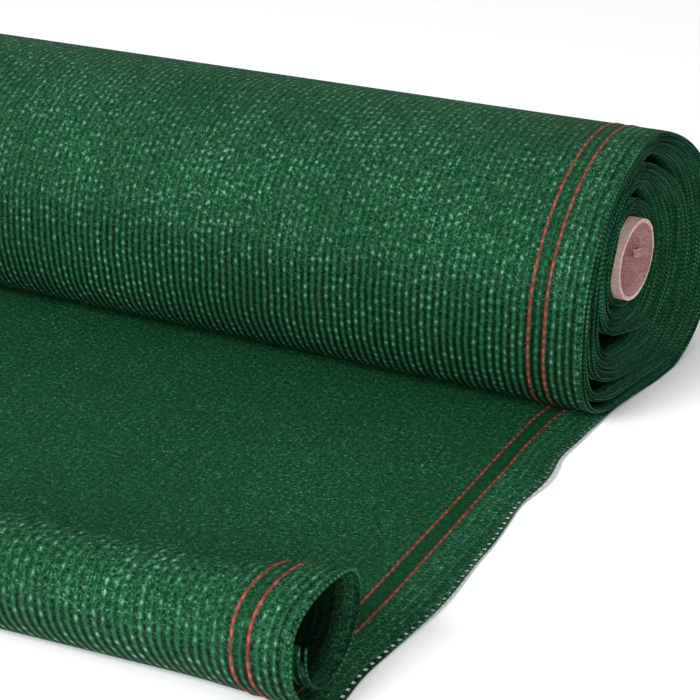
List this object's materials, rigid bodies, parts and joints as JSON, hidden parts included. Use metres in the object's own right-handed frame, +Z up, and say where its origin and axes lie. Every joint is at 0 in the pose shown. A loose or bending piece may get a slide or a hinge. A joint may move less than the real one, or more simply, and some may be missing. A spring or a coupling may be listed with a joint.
{
  "type": "roll of privacy screen netting",
  "caption": "Loosely wound roll of knitted privacy screen netting on a cardboard core, with a stretch laid out in front and its free end curled up.",
  "frame": {"origin": "on the ground below the roll, in the middle of the netting's width", "axes": "+X along the roll towards its right end, +Y to the back, away from the laid stretch, +Z up"},
  "size_m": [1.0375, 0.5009, 0.1296],
  "materials": {
    "netting": "knitted polyethylene thread with a slight sheen",
    "marker_thread": "matt red thread knitted in near each selvedge",
    "core_tube": "matt spiral-wound cardboard"
  },
  "bodies": {
    "root": {"netting": "netting", "core_tube": "core_tube"}
  },
  "joints": []
}
